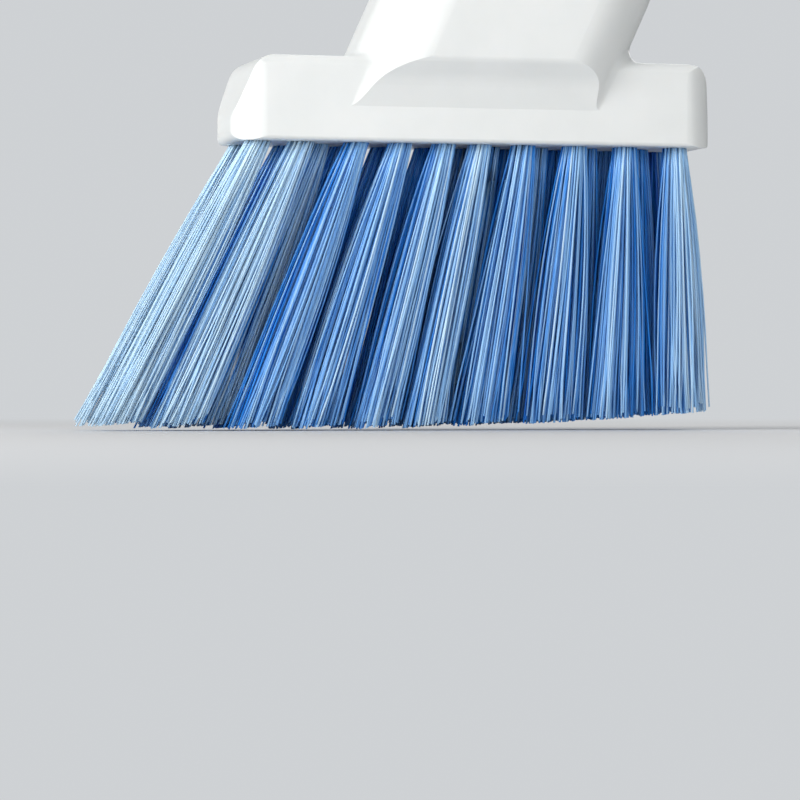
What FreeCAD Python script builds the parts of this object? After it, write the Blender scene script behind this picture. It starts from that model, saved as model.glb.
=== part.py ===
import FreeCAD, Part
import os
from math import cos, pi, radians, sin, tan

# Bee brush: a hollow white body (block, leaning neck and grip) that holds water, a drilled
# plate that carries the blue filament tufts, and a screw cap with a hanging eye.
#
# While it is built, x runs along the block from its middle, y through its thickness with the
# front at -y, and z up from the block's underside. The finished model is then moved so that
# its origin is the middle of its box, at the level of the filament tips.

# Block
block_length = 120.0
block_thickness = 28.0
block_height = 20.4
block_plan_radius = 7.5
block_front_top_radius = 2.4
block_front_bottom_radius = 1.0
left_rim_height = 6.0
left_rake = 21.8            # degrees that the left end leans in above its rim
left_top_radius = 6.0
left_bottom_radius = 2.4
right_draft = 5.0           # degrees that the right end leans in
right_top_radius = 5.8
right_bottom_radius = 2.0

# Neck and grip, measured along the handle's axis from the block's top
handle_lean = 24.5          # degrees from upright, toward +x
handle_foot_x = 4.4         # where the axis crosses the block's top
neck_width = 62.0
neck_depth = 38.0
neck_corner_radius = 15.0
neck_straight = 28.0        # end of the parallel stretch
waist_at = 88.0             # where the taper ends
waist_width = 34.0
waist_depth = 28.0
belly_width = 3.6           # what the palm swell adds to the width
belly_depth = 2.4
grip_section_count = 15
grip_end = 158.0
grip_corner_share = 0.79    # corner radius as a share of half the depth
neck_fillet = 3.2           # where the neck meets the block
neck_root_height = 4.0      # how far down the block's face the neck is rooted

# Chin: the hollow sweep under the part of the neck that stands proud of the block
chin_foot = 8.4             # height of the crease on the block's face
chin_middle = 15.0
chin_middle_proud = 2.0     # how far the sweep stands proud there
chin_top = 19.7
chin_sweep_radius = 12.0
chin_lip_radius = 2.5

# Walls
wall = 2.4
end_wall = 2.0
seam_y = 8.0                # the rear cover is welded on here
chamber_end_inset = 8.0     # how far the water chamber stays in from each end of the block
plate_ledge = 1.5           # shoulder along the front and rear that the plate sits against

# Tuft plate
plate_thickness = 12.0
plate_clearance = 0.08
outlet_radius = 3.0

# Tufts
row_left_margin = 6.6       # middle of the end tuft to the end of the block
row_right_margin = 8.7
tuft_steps = (10.5, 13.5, 10.8, 10.9, 9.0, 10.9, 12.9, 12.8, 12.8)
middle_row_gaps = (1, 5, 6, 7, 8)   # which gaps of the front row have a tuft behind them
outlet_gap = 4              # which gap has the water outlet behind it
middle_row_shift = -0.9
row_spacing = 8.0
hole_radius = 2.8
hole_depth = 9.5
tuft_clearance = 0.04
flare_start = 2.0           # straight filament below the plate before the tuft spreads
lean_at_left = 27.0
lean_at_right = -1.0
row_splay = 1.5             # degrees that the outer rows spread
tip_gap = 0.5               # between neighbouring tufts at their tips
tip_half_depth = 4.3
tuft_overlength = 1.2       # a tuft is made this many times its length, then trimmed
trim_length = 69.0          # from the block to the lowest tips
trim_radius = 1283.0
trim_lowest_x = -48.0

# Anchors
anchor_length = 7.0
anchor_height = 2.0
anchor_thickness = 0.5
anchor_from_end = 1.4       # filament that folds over the anchor
anchor_clearance = 0.03

# Filler collar
end_wall_length = 11.0      # solid end of the grip
end_edge_radius = 2.0
spout_radius = 9.0
spout_bore_radius = 6.5
plug_radius = 9.6
plug_length = 9.0
plug_clearance = 0.06
flange_radius = 12.0
flange_thickness = 2.0
spout_height = 12.0         # above the flange

# Thread
thread_pitch = 4.0
thread_turns = 1.5
thread_depth = 1.2
thread_root_width = 2.0
thread_crest_width = 1.0
thread_radial_clearance = 0.3
thread_overlap = 0.2        # how deep the ridge is rooted in its wall
thread_start = 2.6          # lowest thread on the spout, above the flange

# Cap
cap_wall = 2.6
cap_top_thickness = 2.6
cap_lift_gap = 0.5          # between the skirt and the flange
cap_thread_turns = 1.25
cap_rib_count = 24
cap_rib_radius = 0.7
gasket_thickness = 1.6
gasket_side_gap = 0.35
gasket_bore_radius = 5.0
eye_radius = 4.0
eye_lug_width = 17.0
eye_lug_thickness = 6.0
eye_height = 7.5            # middle of the eye above the cap's top
eye_lug_root = 0.5          # how deep the lug is sunk into the cap's top
eye_lug_flat = 0.1          # left between the two rounds of its crown

# Working values
reach = 400.0               # longer than anything here, for cutting tools
overrun = 1.0               # how far a cutting tool runs past the face that it cuts
chin_overrun = 6.0
touching = 0.01             # two places nearer than this are taken as one

Vector = FreeCAD.Vector
along = Vector(sin(radians(handle_lean)), 0, cos(radians(handle_lean)))
across = Vector(cos(radians(handle_lean)), 0, -sin(radians(handle_lean)))
through = Vector(0, 1, 0)
up = Vector(0, 0, 1)
handle_foot = Vector(handle_foot_x, 0, block_height)
handle_turn = FreeCAD.Rotation(through, handle_lean)


def on_axis(distance):
    return handle_foot + along * distance


def on_handle(shape, distance):
    """Put a shape made along +z from its own origin on the handle's axis."""
    placed = shape.copy()
    placed.Placement = FreeCAD.Placement(on_axis(distance), handle_turn)
    return placed


def outline(corners, place):
    """Closed wire through corners (u, v, radius), each corner rounded by its radius."""
    points = [Vector(u, v, 0) for u, v, radius in corners]
    edges = []
    rounds = []
    for index, here in enumerate(points):
        before = (points[index - 1] - here).normalize()
        after = (points[(index + 1) % len(points)] - here).normalize()
        half_angle = before.getAngle(after) / 2
        radius = corners[index][2]
        tangent = radius / tan(half_angle)
        to_middle = radius / sin(half_angle) - radius
        middle = here
        if radius > 0:
            middle = here + (before + after).normalize() * to_middle
        rounds.append((here + before * tangent, middle, here + after * tangent, radius))
    for index, (start, middle, end, radius) in enumerate(rounds):
        last_end = rounds[index - 1][2]
        edges.append(Part.makeLine(place(last_end.x, last_end.y), place(start.x, start.y)))
        if radius > 0:
            arc = Part.Arc(place(start.x, start.y), place(middle.x, middle.y), place(end.x, end.y))
            edges.append(arc.toShape())
    return Part.Wire(edges)


def in_front_view(x, z):
    return Vector(x, 0, z)


def in_plan(x, y):
    return Vector(x, y, 0)


def in_end_view(y, z):
    return Vector(0, y, z)


def bar(wire, start, travel):
    """Solid swept from a wire moved by start, along travel."""
    face = Part.Face(wire)
    face.translate(start)
    return face.extrude(travel)


def rectangle(half_width, half_depth, radius):
    return [
        (-half_width, -half_depth, radius),
        (half_width, -half_depth, radius),
        (half_width, half_depth, radius),
        (-half_width, half_depth, radius),
    ]


# ---- block ----

def left_end(z, inset):
    """Face of the block's left end at height z, moved in by inset."""
    lean = max(0.0, z - left_rim_height) * tan(radians(left_rake))
    return -block_length / 2 + inset + lean


def right_end(z, inset):
    return block_length / 2 - inset - z * tan(radians(right_draft))


def block_front_outline(inset, top, radii):
    bottom_left, rim, top_left, top_right, bottom_right = radii
    corners = [
        (left_end(0, inset), 0, bottom_left),
        (left_end(0, inset), left_rim_height, rim),
        (left_end(top, inset), top, top_left),
        (right_end(top, inset), top, top_right),
        (right_end(0, inset), 0, bottom_right),
    ]
    return outline(corners, in_front_view)


def block_body():
    half_thickness = block_thickness / 2
    half_length = block_length / 2
    rim_radius = left_top_radius
    radii = (left_bottom_radius, rim_radius, left_top_radius, right_top_radius, right_bottom_radius)
    front = block_front_outline(0, block_height, radii)
    body = bar(front, Vector(0, -half_thickness, 0), through * block_thickness)
    plan = outline(rectangle(half_length, half_thickness, block_plan_radius), in_plan)
    body = body.common(bar(plan, up * -overrun, up * (block_height + 2 * overrun)))
    end_corners = [
        (-half_thickness, 0, block_front_bottom_radius),
        (half_thickness, 0, block_front_bottom_radius),
        (half_thickness, block_height, block_front_top_radius),
        (-half_thickness, block_height, block_front_top_radius),
    ]
    end_view = outline(end_corners, in_end_view)
    start = Vector(-half_length - overrun, 0, 0)
    ends = bar(end_view, start, Vector(block_length + 2 * overrun, 0, 0))
    return body.common(ends)


# ---- handle ----

def eased(value):
    """Smooth step from 0 to 1."""
    held = min(max(value, 0.0), 1.0)
    return held * held * (3 - 2 * held)


def handle_size(distance):
    """Width and depth of the handle at a distance along its axis."""
    taper = eased((distance - neck_straight) / (waist_at - neck_straight))
    swell = 0.0
    if distance > waist_at:
        swell = sin(pi * (distance - waist_at) / (grip_end - waist_at)) ** 2
    width = neck_width + (waist_width - neck_width) * taper + belly_width * swell
    depth = neck_depth + (waist_depth - neck_depth) * taper + belly_depth * swell
    return width, depth


def handle_section(distance, inset):
    width, depth = handle_size(distance)
    corner = neck_corner_radius
    if distance > neck_straight:
        taper = eased((distance - neck_straight) / (waist_at - neck_straight))
        grip_corner = grip_corner_share * depth / 2
        corner = neck_corner_radius + (grip_corner - neck_corner_radius) * taper
    centre = on_axis(distance)

    def place(u, v):
        return centre + across * u + through * v

    return outline(rectangle(width / 2 - inset, depth / 2 - inset, corner - inset), place)


def neck(inset, low, high):
    """Straight part of the handle between two distances along its axis."""
    return bar(handle_section(low, inset), Vector(), along * (high - low))


def grip(inset, end):
    """Tapering part of the handle, from the straight neck to a distance along its axis."""
    step = (end - neck_straight) / (grip_section_count - 1)
    sections = []
    for index in range(grip_section_count):
        sections.append(handle_section(neck_straight + step * index, inset))
    return Part.makeLoft(sections, True, False)


def chin_cutter(side):
    """Takes away what stands proud of the block's face below the neck; side is -1 or 1."""
    face = side * block_thickness / 2
    proud = side * neck_depth / 2
    far = side * (neck_depth / 2 + chin_overrun)
    low = -chin_overrun
    high = chin_top + chin_overrun
    corners = [
        (face, low, 0),
        (face, chin_foot, 0),
        (face + side * chin_middle_proud, chin_middle, chin_sweep_radius),
        (proud, chin_top, chin_lip_radius),
        (proud, high, 0),
        (far, high, 0),
        (far, low, 0),
    ]
    wire = outline(corners, in_end_view)
    return bar(wire, Vector(-reach / 2, 0, 0), Vector(reach, 0, 0))


def on_junction(edge, block, root):
    """True for an edge where the neck's surface meets the block's, above the neck's root."""
    middle = edge.valueAt((edge.FirstParameter + edge.LastParameter) / 2)
    spot = Part.Vertex(middle)
    on_block = block.Shells[0].distToShape(spot)[0] < touching
    on_root = root.Shells[0].distToShape(spot)[0] < touching
    return on_block and on_root and middle.z > neck_root_height + touching


def slab_above(height, half_depth):
    """Everything above a height, within a distance of the middle plane."""
    corner = Vector(-reach / 2, -half_depth, height)
    return Part.makeBox(reach, 2 * half_depth, reach, corner)


def below_block():
    """A distance along the handle's axis that is well under the block."""
    return -2 * (block_height + neck_width)


def body_outside():
    block = block_body()
    root = neck(0, below_block(), neck_straight)
    root = root.common(slab_above(neck_root_height, reach / 2))
    body = block.fuse(root).removeSplitter()
    edges = [edge for edge in body.Edges if on_junction(edge, block, root)]
    body = body.makeFillet(neck_fillet, edges)
    for side in (-1, 1):
        body = body.cut(chin_cutter(side))
    upper = grip(0, grip_end)
    edges = [edge for edge in upper.Edges if end_distance(edge) > grip_end - touching]
    upper = upper.makeFillet(end_edge_radius, edges)
    return body.fuse(upper).removeSplitter()


def end_distance(edge):
    """How far along the handle's axis an edge's nearest end lies."""
    return min((vertex.Point - handle_foot).dot(along) for vertex in edge.Vertexes)


# ---- hollow body and its two shells ----

def plate_shape(gap):
    """The tuft plate's outer shape; with a gap of 0 it is the recess that takes it."""
    half_depth = block_thickness / 2 - wall - gap
    half_length = block_length / 2 - end_wall - gap
    top = plate_thickness
    if gap == 0:
        top += plate_clearance
    front = block_front_outline(end_wall + gap, top, (0, 0, 0, 0, 0))
    shape = bar(front, Vector(0, -half_depth, 0), through * 2 * half_depth)
    plan = outline(rectangle(half_length, half_depth, block_plan_radius - wall - gap), in_plan)
    return shape.common(bar(plan, up * -overrun, up * (plate_thickness + 2 * overrun)))


def water_chamber():
    """Space above the tuft plate."""
    half_length = block_length / 2 - chamber_end_inset
    half_depth = block_thickness / 2 - wall - plate_ledge
    plan = outline(rectangle(half_length, half_depth, block_plan_radius - wall), in_plan)
    low = plate_thickness
    return bar(plan, up * low, up * (block_height - wall - low))


def plug_socket():
    length = end_wall_length + 2 * overrun
    radius = plug_radius + plug_clearance
    return on_handle(Part.makeCylinder(radius, length), grip_end - end_wall_length - overrun)


def body_inside():
    chamber_depth = block_thickness / 2 - wall - plate_ledge
    inner = neck(wall, below_block(), neck_straight)
    throat = inner.common(slab_above(plate_thickness, chamber_depth))
    neck_space = inner.common(slab_above(chin_top + wall, reach / 2))
    grip_space = grip(wall, grip_end - end_wall_length)
    return [plate_shape(0), water_chamber(), throat, neck_space, grip_space, plug_socket()]


def body_shells():
    """The front shell and the rear cover, which meet at the weld seam."""
    hollow = body_outside().cut(body_inside())
    corner = Vector(-reach / 2, seam_y, -reach / 2)
    rear_half = Part.makeBox(reach, reach, reach, corner)
    return hollow.cut(rear_half), hollow.common(rear_half)


# ---- tufts, their plate and anchors ----

def front_row_x():
    """Middle of each tuft of the front row, from the left."""
    first = -block_length / 2 + row_left_margin
    span = block_length - row_left_margin - row_right_margin
    places = [first]
    for step in tuft_steps:
        places.append(places[-1] + span * step / sum(tuft_steps))
    return places


def gap_x(gap):
    """Middle of the space between two tufts of the front row."""
    places = front_row_x()
    return (places[gap] + places[gap + 1]) / 2


def tuft_lean(x):
    """Lean of a tuft's tips toward the left, in degrees."""
    places = front_row_x()
    share = (x - places[0]) / (places[-1] - places[0])
    return lean_at_left + (lean_at_right - lean_at_left) * share


def tip_x(x):
    return x - trim_length * tan(radians(tuft_lean(x)))


def tip_half_width(x):
    """Half the room that a tuft at x has between its neighbours' tips."""
    places = front_row_x()
    rooms = []
    for left, right in zip(places, places[1:]):
        middle = (left + right) / 2
        if abs(middle - x) < right - left:
            rooms.append(tip_x(right) - tip_x(left))
    return (min(rooms) - tip_gap) / 2 * cos(radians(tuft_lean(x)))


def tuft_spots():
    """Name, place and row (-1 front, 0 middle, 1 rear) of every tuft."""
    spots = []
    for number, x in enumerate(front_row_x(), 1):
        spots.append((f"tuft_front_{number:02d}", x, -row_spacing, -1))
        spots.append((f"tuft_rear_{number:02d}", x, row_spacing, 1))
    for number, gap in enumerate(middle_row_gaps, 1):
        spots.append((f"tuft_middle_{number:02d}", gap_x(gap) + middle_row_shift, 0, 0))
    return spots


def in_hole(shape, x, y, row):
    """Put a shape made along z, with the tips at -z, into the hole at x, y."""
    lean = FreeCAD.Rotation(through, tuft_lean(x))
    splay = FreeCAD.Rotation(Vector(1, 0, 0), row * row_splay)
    placed = shape.copy()
    placed.Placement = FreeCAD.Placement(Vector(x, y, 0), lean * splay)
    return placed


def tuft_hole(x, y, row):
    length = hole_depth + plate_thickness
    hole = Part.makeCylinder(hole_radius, length, Vector(0, 0, hole_depth - length))
    return in_hole(hole, x, y, row)


def anchor(x, y, row, gap):
    """Flat strip across the bottom of a hole; with a gap it is the slot that takes it."""
    top = hole_depth - anchor_from_end + gap
    half_length = anchor_length / 2 + gap
    half_thickness = anchor_thickness / 2 + gap
    height = anchor_height + 2 * gap
    corner = Vector(-half_length, -half_thickness, top - height)
    strip = Part.makeBox(2 * half_length, 2 * half_thickness, height, corner)
    return in_hole(strip, x, y, row)


def trim_envelope():
    """Everything above the gentle arc that the filament tips are cut to."""
    middle = Vector(trim_lowest_x, -reach / 2, trim_radius - trim_length)
    return Part.makeCylinder(trim_radius, reach, middle, through)


def tuft(x, y, row, envelope):
    radius = hole_radius - tuft_clearance
    root_length = hole_depth + flare_start - tuft_clearance
    root = Part.makeCylinder(radius, root_length, Vector(0, 0, -flare_start))
    flare_length = trim_length / cos(radians(tuft_lean(x))) - flare_start
    half_width = radius + (tip_half_width(x) - radius) * tuft_overlength
    half_depth = radius + (tip_half_depth - radius) * tuft_overlength
    low = Vector(0, 0, -flare_start - flare_length * tuft_overlength)
    top_circle = Part.makeCircle(radius, Vector(0, 0, -flare_start))
    tip_ellipse = Part.Ellipse(low, half_width, half_depth).toShape()
    flare = Part.makeLoft([Part.Wire(top_circle), Part.Wire(tip_ellipse)], True, True)
    whole = in_hole(root.fuse(flare).removeSplitter(), x, y, row)
    return whole.common(envelope).cut(anchor(x, y, row, anchor_clearance))


def tuft_plate():
    plate = plate_shape(plate_clearance)
    tools = []
    for name, x, y, row in tuft_spots():
        tools.append(tuft_hole(x, y, row).fuse(anchor(x, y, row, anchor_clearance)))
    outlet = Vector(gap_x(outlet_gap) + middle_row_shift, 0, -overrun)
    tools.append(Part.makeCylinder(outlet_radius, plate_thickness + 2 * overrun, outlet))
    return plate.cut(tools)


def anchor_staples():
    strips = [anchor(x, y, row, 0) for name, x, y, row in tuft_spots()]
    return Part.makeCompound(strips)


# ---- filler collar, gasket and cap; each is made upright on the grip's end ----

def thread(root_radius, crest_radius, turns):
    """Right-hand ridge from its wall to its crest, starting on the x axis at z = 0."""
    path = Part.makeHelix(thread_pitch, thread_pitch * turns, root_radius)
    root = thread_root_width / 2
    crest = thread_crest_width / 2
    corners = [
        Vector(root_radius, 0, -root),
        Vector(crest_radius, 0, -crest),
        Vector(crest_radius, 0, crest),
        Vector(root_radius, 0, root),
    ]
    section = Part.makePolygon(corners + corners[:1])
    return Part.Wire(path.Edges).makePipeShell([section], True, True)


def spout_top():
    return flange_thickness + spout_height


def cap_bore_radius():
    return spout_radius + thread_depth + thread_radial_clearance


def cap_top_inside():
    return spout_top() + gasket_thickness


def cap_top():
    return cap_top_inside() + cap_top_thickness


def filler_collar():
    collar = Part.makeCylinder(flange_radius, flange_thickness)
    plug = Part.makeCylinder(plug_radius, plug_length, Vector(0, 0, -plug_length))
    spout = Part.makeCylinder(spout_radius, spout_height, up * flange_thickness)
    ridge = thread(spout_radius - thread_overlap, spout_radius + thread_depth, thread_turns)
    ridge.translate(up * (flange_thickness + thread_start))
    collar = collar.fuse([plug, spout, ridge])
    bore_length = plug_length + spout_top() + 2 * overrun
    bore_start = Vector(0, 0, -plug_length - overrun)
    bore = Part.makeCylinder(spout_bore_radius, bore_length, bore_start)
    return on_handle(collar.cut(bore), grip_end)


def cap_gasket():
    radius = cap_bore_radius() - gasket_side_gap
    ring = Part.makeCylinder(radius, gasket_thickness, up * spout_top())
    bore = Part.makeCylinder(gasket_bore_radius, reach, up * -overrun)
    return on_handle(ring.cut(bore), grip_end)


def eye_lug():
    half_width = eye_lug_width / 2
    foot = cap_top() - eye_lug_root
    crown = cap_top() + eye_height + half_width
    crown_radius = half_width - eye_lug_flat / 2
    corners = [
        (-half_width, foot, 0),
        (half_width, foot, 0),
        (half_width, crown, crown_radius),
        (-half_width, crown, crown_radius),
    ]
    front = -eye_lug_thickness / 2
    lug = bar(outline(corners, in_front_view), through * front, through * eye_lug_thickness)
    centre = Vector(0, front - overrun, cap_top() + eye_height)
    return lug.cut(Part.makeCylinder(eye_radius, eye_lug_thickness + 2 * overrun, centre, through))


def screw_cap():
    bottom = flange_thickness + cap_lift_gap
    outer_radius = cap_bore_radius() + cap_wall
    height = cap_top() - bottom
    cap = Part.makeCylinder(outer_radius, height, up * bottom)
    rim_edges = [edge for edge in cap.Edges if edge.BoundBox.ZMin > cap_top() - touching]
    cap = cap.makeFillet(cap_rib_radius, rim_edges)
    ribs = []
    for index in range(cap_rib_count):
        angle = 2 * pi * index / cap_rib_count
        foot = Vector(outer_radius * cos(angle), outer_radius * sin(angle), bottom)
        ribs.append(Part.makeCylinder(cap_rib_radius, height - 2 * cap_rib_radius, foot))
    cap = cap.fuse(ribs + [eye_lug()])
    bore_depth = cap_top_inside() - bottom + overrun
    cap = cap.cut(Part.makeCylinder(cap_bore_radius(), bore_depth, up * (bottom - overrun)))
    root_radius = cap_bore_radius() + thread_overlap
    crest_radius = spout_radius + thread_radial_clearance
    ridge = thread(root_radius, crest_radius, cap_thread_turns)
    half_turn = FreeCAD.Rotation(up, 180)
    start = up * (flange_thickness + thread_start)
    ridge.Placement = FreeCAD.Placement(start, half_turn).multiply(ridge.Placement)
    return on_handle(cap.fuse(ridge), grip_end)


# ---- whole brush ----

def all_pieces():
    front_shell, rear_cover = body_shells()
    pieces = {
        "front_shell": front_shell,
        "rear_cover": rear_cover,
        "tuft_plate": tuft_plate(),
        "anchor_staples": anchor_staples(),
        "filler_collar": filler_collar(),
        "cap_gasket": cap_gasket(),
        "screw_cap": screw_cap(),
    }
    envelope = trim_envelope()
    for name, x, y, row in tuft_spots():
        pieces[name] = tuft(x, y, row, envelope)
    return pieces


def origin_shift(pieces):
    """Move that puts the origin at the middle of the brush's box, at the tips."""
    box = Part.makeCompound(list(pieces.values())).optimalBoundingBox(False, False)
    return Vector(-box.Center.x, -box.Center.y, -box.ZMin)


def main():
    os.makedirs("parts", exist_ok=True)
    pieces = all_pieces()
    shift = origin_shift(pieces)
    print("origin shift", round(shift.x, 4), round(shift.y, 4), round(shift.z, 4))
    for name, shape in pieces.items():
        shape.translate(shift)
        shape.exportStep(f"parts/{name}.step")
        print(name, len(shape.Solids), "solids, valid", shape.isValid(), round(shape.Volume, 1))


if __name__ == "__main__":
    main()
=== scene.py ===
import math
import random

import bmesh
import bpy
from mathutils import Matrix, Vector


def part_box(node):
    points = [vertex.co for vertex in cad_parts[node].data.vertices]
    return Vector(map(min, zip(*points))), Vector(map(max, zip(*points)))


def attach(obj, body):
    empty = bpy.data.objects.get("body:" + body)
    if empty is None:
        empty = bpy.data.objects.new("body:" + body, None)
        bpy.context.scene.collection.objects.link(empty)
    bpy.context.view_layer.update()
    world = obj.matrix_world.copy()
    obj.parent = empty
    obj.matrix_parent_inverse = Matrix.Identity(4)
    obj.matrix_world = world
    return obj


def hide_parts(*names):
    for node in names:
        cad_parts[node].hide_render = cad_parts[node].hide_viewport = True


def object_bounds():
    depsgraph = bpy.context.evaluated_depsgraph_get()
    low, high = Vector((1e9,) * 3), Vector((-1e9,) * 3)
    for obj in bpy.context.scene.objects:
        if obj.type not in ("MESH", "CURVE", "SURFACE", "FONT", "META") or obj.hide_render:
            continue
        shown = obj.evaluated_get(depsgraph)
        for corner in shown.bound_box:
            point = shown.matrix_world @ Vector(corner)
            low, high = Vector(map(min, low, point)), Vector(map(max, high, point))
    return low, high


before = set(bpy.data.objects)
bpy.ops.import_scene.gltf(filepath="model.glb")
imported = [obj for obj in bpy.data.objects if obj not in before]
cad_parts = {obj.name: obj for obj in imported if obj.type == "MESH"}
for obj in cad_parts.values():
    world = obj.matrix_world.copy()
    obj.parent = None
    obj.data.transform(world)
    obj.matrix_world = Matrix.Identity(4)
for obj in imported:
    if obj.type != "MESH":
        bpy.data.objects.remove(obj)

cadLow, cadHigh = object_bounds()
mm = 0.001


studio = {
    "viewTurn": 15.0,               # degrees that the camera stands round to the left
    "distance": 0.9,
    "aimLeftOfPlate": 19.0 * mm,
    "aimInFrontOfPlate": 10.2 * mm,
    "eyeHeight": 7.3 * mm,
    "lens": 168.75,
    "floorColor": (0.72, 0.72, 0.72),
    "backColor": (0.62, 0.64, 0.66),
    "floorFade": (0.15, 0.6),       # metres from the brush over which the floor meets the backdrop
    "floorReach": 6.0,
    "floorSides": 96,
    "floorRough": 0.9,
    "floorGloss": 0.1,
    "nearClip": 0.01,
    "worldColor": (0.9, 0.95, 1.0),
    "worldLevel": 0.22,
}

# each lamp's place, its size in metres and its watts
lamps = {
    "keyLamp": ((-1.0, -0.42, 0.4), 0.45, 11),
    "frontLamp": ((-0.1, -1.3, 0.35), 0.8, 6.2),
    "topLamp": ((0.1, 0.1, 1.2), 0.9, 2.4),
    "backLamp": ((0.5, 1.0, 0.6), 0.8, 5),
}


def makeCamera():
    plateLow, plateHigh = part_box("tuft_plate")
    turn = math.radians(studio["viewTurn"])
    ahead = Vector((math.sin(turn), math.cos(turn), 0))
    aim = (plateLow + plateHigh) / 2
    aim.x -= studio["aimLeftOfPlate"]
    aim.y -= studio["aimInFrontOfPlate"]
    aim.z = studio["eyeHeight"]
    cameraData = bpy.data.cameras.new("camera")
    cameraData.lens = studio["lens"]
    cameraData.clip_start = studio["nearClip"]
    camera = bpy.data.objects.new("camera", cameraData)
    camera.location = aim - ahead * studio["distance"]
    camera.rotation_euler = ahead.to_track_quat("-Z", "Y").to_euler()
    bpy.context.scene.collection.objects.link(camera)
    bpy.context.scene.camera = camera


def makeLamp(name, place, aim, size, power):
    lampData = bpy.data.lights.new(name, "AREA")
    lampData.shape = "SQUARE"
    lampData.size = size
    lampData.energy = power
    lamp = bpy.data.objects.new(name, lampData)
    lamp.location = place
    lamp.rotation_euler = (Vector(aim) - Vector(place)).to_track_quat("-Z", "Y").to_euler()
    bpy.context.scene.collection.objects.link(lamp)


def makeLights():
    middle = (cadLow + cadHigh) / 2
    for name, (place, size, power) in lamps.items():
        makeLamp(name, place, middle, size, power)
    world = bpy.data.worlds.new("studioWorld")
    world.use_nodes = True
    nodes, links = world.node_tree.nodes, world.node_tree.links
    light = nodes["Background"]
    light.inputs["Color"].default_value = (*studio["worldColor"], 1)
    light.inputs["Strength"].default_value = studio["worldLevel"]
    seen = nodes.new("ShaderNodeBackground")
    seen.inputs["Color"].default_value = (*studio["backColor"], 1)
    seen.inputs["Strength"].default_value = 1.0
    rays = nodes.new("ShaderNodeLightPath")
    mix = nodes.new("ShaderNodeMixShader")
    links.new(rays.outputs["Is Camera Ray"], mix.inputs["Fac"])
    links.new(light.outputs[0], mix.inputs[1])
    links.new(seen.outputs[0], mix.inputs[2])
    links.new(mix.outputs[0], nodes["World Output"].inputs["Surface"])
    bpy.context.scene.world = world
    bpy.context.scene.view_settings.view_transform = "Standard"


def makeFloor():
    bm = bmesh.new()
    bmesh.ops.create_circle(
        bm, cap_ends=True, segments=studio["floorSides"], radius=studio["floorReach"])
    mesh = bpy.data.meshes.new("floor")
    bm.to_mesh(mesh)
    bm.free()
    floor = bpy.data.objects.new("floor", mesh)
    bpy.context.scene.collection.objects.link(floor)
    material, nodes, links, shader = newMaterial("floorPaper")
    shader.inputs["Base Color"].default_value = (*studio["floorColor"], 1)
    shader.inputs["Roughness"].default_value = studio["floorRough"]
    shader.inputs["Specular IOR Level"].default_value = studio["floorGloss"]
    where = nodes.new("ShaderNodeTexCoord")
    away = nodes.new("ShaderNodeVectorMath")
    away.operation = "LENGTH"
    links.new(where.outputs["Object"], away.inputs[0])
    fade = spreadNode(nodes, links, away.outputs["Value"], 0, 1)
    fade.inputs["From Min"].default_value, fade.inputs["From Max"].default_value = studio["floorFade"]
    rays = nodes.new("ShaderNodeLightPath")
    seen = nodes.new("ShaderNodeMath")
    seen.operation = "MULTIPLY"
    links.new(rays.outputs["Is Camera Ray"], seen.inputs[0])
    links.new(fade.outputs["Result"], seen.inputs[1])
    backdrop = nodes.new("ShaderNodeEmission")
    backdrop.inputs["Color"].default_value = (*studio["backColor"], 1)
    mix = nodes.new("ShaderNodeMixShader")
    links.new(seen.outputs[0], mix.inputs["Fac"])
    links.new(shader.outputs[0], mix.inputs[1])
    links.new(backdrop.outputs[0], mix.inputs[2])
    # seen from below, the floor is clear, so that the underside shows
    side = nodes.new("ShaderNodeNewGeometry")
    clear = nodes.new("ShaderNodeBsdfTransparent")
    oneSided = nodes.new("ShaderNodeMixShader")
    links.new(side.outputs["Backfacing"], oneSided.inputs["Fac"])
    links.new(mix.outputs[0], oneSided.inputs[1])
    links.new(clear.outputs[0], oneSided.inputs[2])
    links.new(oneSided.outputs[0], nodes["Material Output"].inputs["Surface"])
    mesh.materials.append(material)


def newMaterial(name):
    material = bpy.data.materials.new(name)
    material.use_nodes = True
    nodes, links = material.node_tree.nodes, material.node_tree.links
    return material, nodes, links, nodes["Principled BSDF"]


def noiseNode(nodes, links, scale, detail, stretch=(1, 1, 1)):
    where = nodes.new("ShaderNodeTexCoord")
    mapping = nodes.new("ShaderNodeMapping")
    mapping.inputs["Scale"].default_value = stretch
    noise = nodes.new("ShaderNodeTexNoise")
    noise.inputs["Scale"].default_value = scale
    noise.inputs["Detail"].default_value = detail
    links.new(where.outputs["Object"], mapping.inputs["Vector"])
    links.new(mapping.outputs["Vector"], noise.inputs["Vector"])
    return noise


def rampNode(nodes, links, source, stops):
    ramp = nodes.new("ShaderNodeValToRGB")
    while len(ramp.color_ramp.elements) < len(stops):
        ramp.color_ramp.elements.new(0.5)
    for element, (place, color) in zip(ramp.color_ramp.elements, stops):
        element.position = place
        element.color = (*color, 1)
    links.new(source, ramp.inputs["Fac"])
    return ramp


def spreadNode(nodes, links, source, low, high):
    spread = nodes.new("ShaderNodeMapRange")
    spread.inputs["To Min"].default_value = low
    spread.inputs["To Max"].default_value = high
    links.new(source, spread.inputs["Value"])
    return spread


def twoTones(nodes, links, noise, look):
    # the noise lies mostly between these two places, so both colours show in full
    stops = [(0.3, look["dark"]), (0.7, look["light"])]
    return rampNode(nodes, links, noise.outputs["Fac"], stops)


def roughness(nodes, links, noise, look):
    return spreadNode(nodes, links, noise.outputs["Fac"], look["smoothest"], look["roughest"])


def bumpNode(nodes, links, height, strength, distance):
    bump = nodes.new("ShaderNodeBump")
    bump.inputs["Strength"].default_value = strength
    bump.inputs["Distance"].default_value = distance
    links.new(height, bump.inputs["Height"])
    return bump


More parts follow.
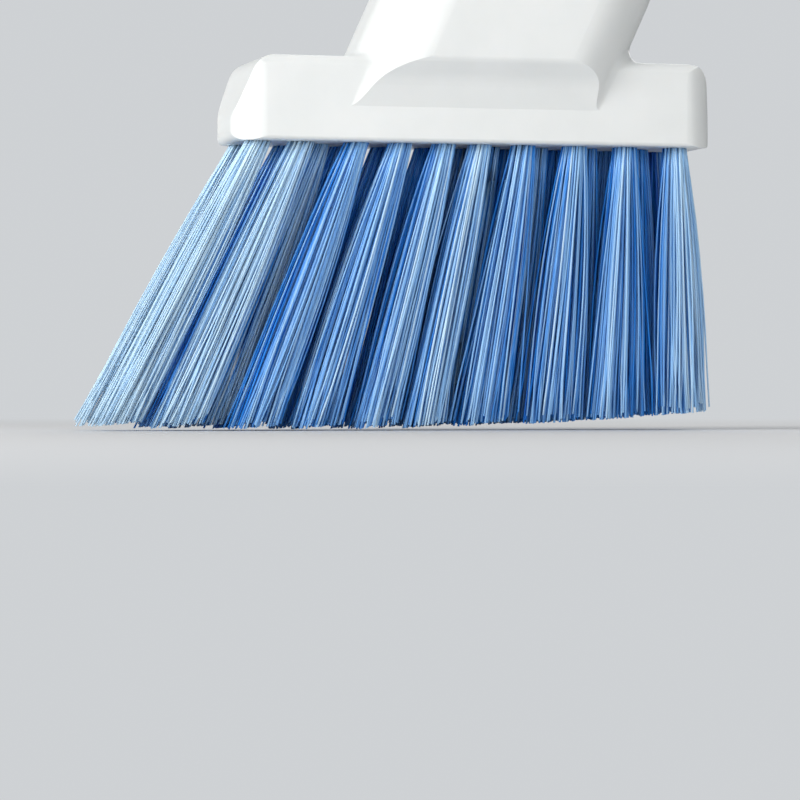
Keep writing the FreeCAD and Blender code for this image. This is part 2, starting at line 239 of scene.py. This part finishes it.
bodyLook = {
    "dark": (0.80, 0.815, 0.80),
    "light": (0.85, 0.86, 0.845),
    "smoothest": 0.28,
    "roughest": 0.42,
    "grain": 0.12,
    "glow": 0.15,
    "cloudScale": 55,
    "polishScale": 220,
    "grainScale": 1500,
    "grainDepth": 0.05 * mm,
    "glowReach": 1.5 * mm,
    "glowShares": (1.0, 0.9, 0.8),      # of that reach, for red, green and blue light
    "ior": 1.49,
}
capLook = {
    "dark": (0.76, 0.775, 0.77),
    "light": (0.82, 0.83, 0.82),
    "smoothest": 0.35,
    "roughest": 0.5,
    "grain": 0.25,
    "glow": 0.1,
    "cloudScale": 55,
    "polishScale": 220,
    "grainScale": 1500,
    "grainDepth": 0.05 * mm,
    "glowReach": 1.5 * mm,
    "glowShares": (1.0, 0.9, 0.8),      # of that reach, for red, green and blue light
    "ior": 1.49,
}


def whitePlastic(name, look):
    material, nodes, links, shader = newMaterial(name)
    cloud = noiseNode(nodes, links, look["cloudScale"], detail=3)
    color = twoTones(nodes, links, cloud, look)
    links.new(color.outputs["Color"], shader.inputs["Base Color"])
    polish = noiseNode(nodes, links, look["polishScale"], detail=4)
    rough = roughness(nodes, links, polish, look)
    links.new(rough.outputs["Result"], shader.inputs["Roughness"])
    grain = noiseNode(nodes, links, look["grainScale"], detail=2)
    bump = bumpNode(nodes, links, grain.outputs["Fac"], look["grain"], look["grainDepth"])
    links.new(bump.outputs["Normal"], shader.inputs["Normal"])
    shader.inputs["Subsurface Weight"].default_value = look["glow"]
    shader.inputs["Subsurface Radius"].default_value = look["glowShares"]
    shader.inputs["Subsurface Scale"].default_value = look["glowReach"]
    shader.inputs["IOR"].default_value = look["ior"]
    return material


# the deep colour is painted shade, pale and bright are painted light, middle is the nylon's own blue
filamentLook = {
    "deep": (0.022, 0.035, 0.42),
    "middle": (0.015, 0.24, 0.76),
    "paintedLightPale": (0.31, 0.58, 0.92),
    "paintedLightBright": (0.66, 0.86, 1.0),
    "smoothest": 0.30,
    "roughest": 0.48,
    "streakScale": 900,
    "streakStretch": (1, 1, 0.06),
    "streakShare": 0.2,
    "gloss": 0.35,
    "ior": 1.53,
}


def filamentNylon():
    material, nodes, links, shader = newMaterial("filamentNylon")
    toneAndPaintedLight = nodes.new("ShaderNodeAttribute")
    toneAndPaintedLight.attribute_name = "toneAndPaintedLight"
    streak = noiseNode(
        nodes, links, filamentLook["streakScale"], detail=2, stretch=filamentLook["streakStretch"])
    mixed = nodes.new("ShaderNodeMix")
    mixed.inputs["Factor"].default_value = filamentLook["streakShare"]
    links.new(toneAndPaintedLight.outputs["Fac"], mixed.inputs["A"])
    links.new(streak.outputs["Fac"], mixed.inputs["B"])
    # turns the tone and its painted light and shade into colour: deep for painted shade, pale and bright
    # for painted light
    stops = [
        (0.15, filamentLook["deep"]),
        (0.40, filamentLook["middle"]),
        (0.66, filamentLook["paintedLightPale"]),
        (0.95, filamentLook["paintedLightBright"]),
    ]
    color = rampNode(nodes, links, mixed.outputs["Result"], stops)
    links.new(color.outputs["Color"], shader.inputs["Base Color"])
    rough = roughness(nodes, links, streak, filamentLook)
    links.new(rough.outputs["Result"], shader.inputs["Roughness"])
    shader.inputs["IOR"].default_value = filamentLook["ior"]
    shader.inputs["Specular IOR Level"].default_value = filamentLook["gloss"]
    return material


rubberLook = {
    "dark": (0.015, 0.015, 0.016),
    "light": (0.03, 0.03, 0.03),
    "smoothest": 0.6,
    "roughest": 0.8,
    "cloudScale": 400,
}


def sealRubber():
    material, nodes, links, shader = newMaterial("sealRubber")
    cloud = noiseNode(nodes, links, rubberLook["cloudScale"], detail=3)
    color = twoTones(nodes, links, cloud, rubberLook)
    links.new(color.outputs["Color"], shader.inputs["Base Color"])
    rough = roughness(nodes, links, cloud, rubberLook)
    links.new(rough.outputs["Result"], shader.inputs["Roughness"])
    return material


steelLook = {
    "dark": (0.42, 0.42, 0.43),
    "light": (0.6, 0.6, 0.61),
    "smoothest": 0.25,
    "roughest": 0.45,
    "brushScale": 3000,
    "brushStretch": (0.1, 1, 1),
}


def anchorSteel():
    material, nodes, links, shader = newMaterial("anchorSteel")
    brushed = noiseNode(
        nodes, links, steelLook["brushScale"], detail=2, stretch=steelLook["brushStretch"])
    color = twoTones(nodes, links, brushed, steelLook)
    links.new(color.outputs["Color"], shader.inputs["Base Color"])
    rough = roughness(nodes, links, brushed, steelLook)
    links.new(rough.outputs["Result"], shader.inputs["Roughness"])
    shader.inputs["Metallic"].default_value = 1.0
    return material


def paintNode(name, material):
    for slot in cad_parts[name].material_slots:
        slot.material = material


tuft = {
    "count": 130,
    "firstSeed": 100,
    "radius": 0.24 * mm,
    "radiusSpread": (0.85, 1.1),
    "boxMargin": 1.3,           # radii that a filament's line keeps from the box's sides
    "sides": 5,
    "steps": 7,
    "startInHole": 1.5 * mm,
    "topSlice": 3 * mm,         # below the plate, where a tuft's outline is read
    "endSlice": 6 * mm,         # above its tips, where it is read again
    "tipZone": 2 * mm,
    "rootReach": 0.96,          # of the outline's half size
    "tipReach": 0.98,
    "clumps": 8,
    "clumpTone": 0.09,
    "clumping": 0.3,
    "leastClumping": 0.2,       # as a share of that
    "belly": 0.2,               # how much fuller than a straight cone a tuft is near its root
    "bow": 0.5 * mm,
    "jitter": 0.06,
    "strayShare": 0.10,         # filaments that cross over into the next tuft
    "strayReach": 0.45,
    "inwardSpread": 1.75,       # the outer rows' tips also fill the room between the rows
    "curl": 0.7 * mm,           # sideways bend of a worn tip
    "shortest": 2.4 * mm,
    "toneMiddle": 0.42,         # painted light and shade: filaments on the outside of the brush are painted pale as if lit, those inside it deep as if in shade
    "paintedLightOutward": 0.36,
    "toneNoise": 0.09,
    "middleRowPaintedLightShare": 0.5,
    # painted highlights: a share of the outer filaments are painted brighter
    "paintedHighlightShare": 0.12,
    "paintedHighlightExtra": 0.22,
    "paintedLightAtLeft": 0.42,         # painted light from the left: how much paler the tufts at the left end are painted
    "paintedLeftLightInside": 0.6,
    "paintedLightWithin": 26 * mm,
}


def sliceAt(name, height):
    # middle and half sizes of a node's outline at one height
    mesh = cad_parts[name].data
    places = [vert.co for vert in mesh.vertices]
    cuts = []
    for edge in mesh.edges:
        a, b = places[edge.vertices[0]], places[edge.vertices[1]]
        if (a.z - height) * (b.z - height) < 0:
            cuts.append(a.lerp(b, (height - a.z) / (b.z - a.z)))
    low = Vector((min(c.x for c in cuts), min(c.y for c in cuts), height))
    high = Vector((max(c.x for c in cuts), max(c.y for c in cuts), height))
    return (low + high) / 2, (high - low) / 2


def tipSlope(name):
    # height of the trimmed end at x, as a straight line between its two sides
    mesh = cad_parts[name].data
    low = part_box(name)[0]
    ends = [vert.co for vert in mesh.vertices if vert.co.z < low.z + tuft["tipZone"]]
    left = min(ends, key=lambda co: co.x)
    right = max(ends, key=lambda co: co.x)
    slope = (right.z - left.z) / (right.x - left.x)
    return left.x, left.z, slope


def discPoint(rng):
    angle = rng.uniform(0, 2 * math.pi)
    reach = math.sqrt(rng.uniform(0, 1)) * tuft["rootReach"]
    return Vector((reach * math.cos(angle), reach * math.sin(angle)))


def keepInBox(path):
    margin = tuft["radius"] * tuft["boxMargin"]
    for place in path:
        for axis in range(3):
            place[axis] = min(max(place[axis], cadLow[axis] + margin), cadHigh[axis] - margin)


def tuftShape(name):
    # where a tuft's filaments run, read from its own solid
    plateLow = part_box("tuft_plate")[0]
    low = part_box(name)[0]
    shape = {"lowest": low.z, "startZ": plateLow.z + tuft["startInHole"]}
    shape["topHeight"] = plateLow.z - tuft["topSlice"]
    shape["endHeight"] = low.z + tuft["endSlice"]
    shape["topMiddle"], shape["topHalf"] = sliceAt(name, shape["topHeight"])
    shape["endMiddle"], shape["endHalf"] = sliceAt(name, shape["endHeight"])
    shape["tipX"], shape["tipZ"], shape["slope"] = tipSlope(name)
    # painted light from the left, fading over this distance from the plate's left end
    fromLeft = (shape["topMiddle"].x - plateLow.x) / tuft["paintedLightWithin"]
    shape["worn"] = tuft["paintedLightAtLeft"] * max(0, 1 - fromLeft)
    shape["row"] = {"front": -1, "middle": 0, "rear": 1}[name.split("_")[1]]
    shape["end"] = {"01": -1, "10": 1}.get(name[-2:], 0) * abs(shape["row"])
    return shape


def outlineAt(shape, height):
    # middle and half sizes of a tuft's outline, from its two slices
    share = (height - shape["topHeight"]) / (shape["endHeight"] - shape["topHeight"])
    middle = shape["topMiddle"].lerp(shape["endMiddle"], share)
    half = shape["topHalf"].lerp(shape["endHalf"], max(share, 0))
    return middle, half


def filamentToneAndPaintedLight(rng, shape, root, clumpTone):
    row, end = shape["row"], shape["end"]
    # painted light and shade: the further out on the brush a filament's root lies, the paler it is
    # painted, as if lit; inner filaments are painted deep, as if in shade
    outward = root.y * row if row else abs(root.y) * tuft["middleRowPaintedLightShare"]
    outward = max(outward, root.x * end)
    toneAndPaintedLight = tuft["toneMiddle"] + tuft["paintedLightOutward"] * outward + clumpTone
    toneAndPaintedLight += rng.gauss(0, tuft["toneNoise"])
    # painted light from the left: tufts at the left end are painted paler, their inner filaments a little
    # less
    toneAndPaintedLight += shape["worn"] * (1 if outward > 0 else tuft["paintedLeftLightInside"])
    # painted highlight on some outer filaments
    if outward > 0 and rng.random() < tuft["paintedHighlightShare"]:
        toneAndPaintedLight += tuft["paintedHighlightExtra"]
    return min(max(toneAndPaintedLight, 0), 1)


def planFilament(rng, shape, clumps):
    # one filament's line from its hole to its tip, and its tone with painted light and shade
    root = discPoint(rng)
    home, clumpTone = min(clumps, key=lambda clump: (clump[0] - root).length)
    tip = root.lerp(home, tuft["clumping"] * rng.uniform(tuft["leastClumping"], 1))
    tip += Vector((rng.gauss(0, 1), rng.gauss(0, 1))) * tuft["jitter"]
    if tip.length > tuft["tipReach"]:
        tip *= tuft["tipReach"] / tip.length
    if rng.random() < tuft["strayShare"] and not shape["end"]:
        tip.x += rng.uniform(-1, 1) * tuft["strayReach"]
    if tip.y * shape["row"] < 0:
        tip.y *= tuft["inwardSpread"]
    bow = Vector((rng.gauss(0, 1), rng.gauss(0, 1), 0)) * tuft["bow"]
    tipMiddle, tipHalf = outlineAt(shape, shape["lowest"])
    endX = tipMiddle.x + tipHalf.x * tip.x
    endZ = shape["tipZ"] + shape["slope"] * (endX - shape["tipX"])
    endZ += rng.uniform(0, 1) ** 2 * tuft["shortest"]
    path = []
    for step in range(tuft["steps"] + 1):
        along = step / tuft["steps"]
        height = shape["startZ"] + (endZ - shape["startZ"]) * along
        middle, half = outlineAt(shape, height)
        spot = root.lerp(tip, along)
        fuller = 1 + tuft["belly"] * math.sin(math.pi * math.sqrt(along))
        place = Vector((middle.x + half.x * spot.x * fuller, middle.y + half.y * spot.y * fuller, height))
        place += bow * math.sin(math.pi * along)
        path.append(place)
    path[-1] += Vector((rng.uniform(-1, 1), rng.uniform(-1, 1), 0)) * tuft["curl"] * rng.random()
    keepInBox(path)
    return path, filamentToneAndPaintedLight(rng, shape, root, clumpTone)


def filamentMesh(rng, name, paths, tonesAndPaintedLight):
    bm = bmesh.new()
    toneLayer = bm.verts.layers.float.new("toneAndPaintedLight")
    strandLayer = bm.verts.layers.int.new("strand")
    for index, path in enumerate(paths):
        turn = Matrix.Rotation(rng.uniform(0, math.pi), 4, "Z")
        radius = tuft["radius"] * rng.uniform(*tuft["radiusSpread"])
        place = Matrix.Translation(path[0]) @ turn
        ring = bmesh.ops.create_circle(
            bm, cap_ends=True, segments=tuft["sides"], radius=radius, matrix=place)
        for vert in ring["verts"]:
            vert[toneLayer] = tonesAndPaintedLight[index]
            vert[strandLayer] = index
    # all filaments of a tuft are drawn out together, a step at a time
    faces = bm.faces[:]
    for step in range(1, tuft["steps"] + 1):
        grown = bmesh.ops.extrude_face_region(bm, geom=faces)
        faces = [item for item in grown["geom"] if isinstance(item, bmesh.types.BMFace)]
        for item in grown["geom"]:
            if isinstance(item, bmesh.types.BMVert):
                path = paths[item[strandLayer]]
                item.co += path[step] - path[step - 1]
    bmesh.ops.recalc_face_normals(bm, faces=bm.faces[:])
    mesh = bpy.data.meshes.new(name)
    bm.to_mesh(mesh)
    bm.free()
    mesh.attributes.remove(mesh.attributes["strand"])
    mesh.shade_smooth()
    return mesh


def growTuft(name, number, material):
    rng = random.Random(tuft["firstSeed"] + number)
    shape = tuftShape(name)
    clumps = []
    for _ in range(tuft["clumps"]):
        middle = discPoint(rng)
        clumps.append((middle, rng.uniform(-tuft["clumpTone"], tuft["clumpTone"])))
    filaments = [planFilament(rng, shape, clumps) for _ in range(tuft["count"])]
    paths = [path for path, toneAndPaintedLight in filaments]
    tonesAndPaintedLight = [toneAndPaintedLight for path, toneAndPaintedLight in filaments]
    mesh = filamentMesh(rng, name + "_filaments", paths, tonesAndPaintedLight)
    mesh.materials.append(material)
    piece = bpy.data.objects.new(name + "_filaments", mesh)
    bpy.context.scene.collection.objects.link(piece)
    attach(piece, "handle")
    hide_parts(name)


print("studio")
makeCamera()
makeLights()
makeFloor()

print("white plastic")
bodyPlastic = whitePlastic("bodyPlastic", bodyLook)
for name in ("front_shell", "rear_cover", "tuft_plate", "filler_collar"):
    paintNode(name, bodyPlastic)
paintNode("screw_cap", whitePlastic("capPlastic", capLook))
paintNode("cap_gasket", sealRubber())
paintNode("anchor_staples", anchorSteel())

print("tufts")
nylon = filamentNylon()
tuftNames = sorted(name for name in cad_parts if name.startswith("tuft_") and name != "tuft_plate")
for number, name in enumerate(tuftNames):
    growTuft(name, number, nylon)
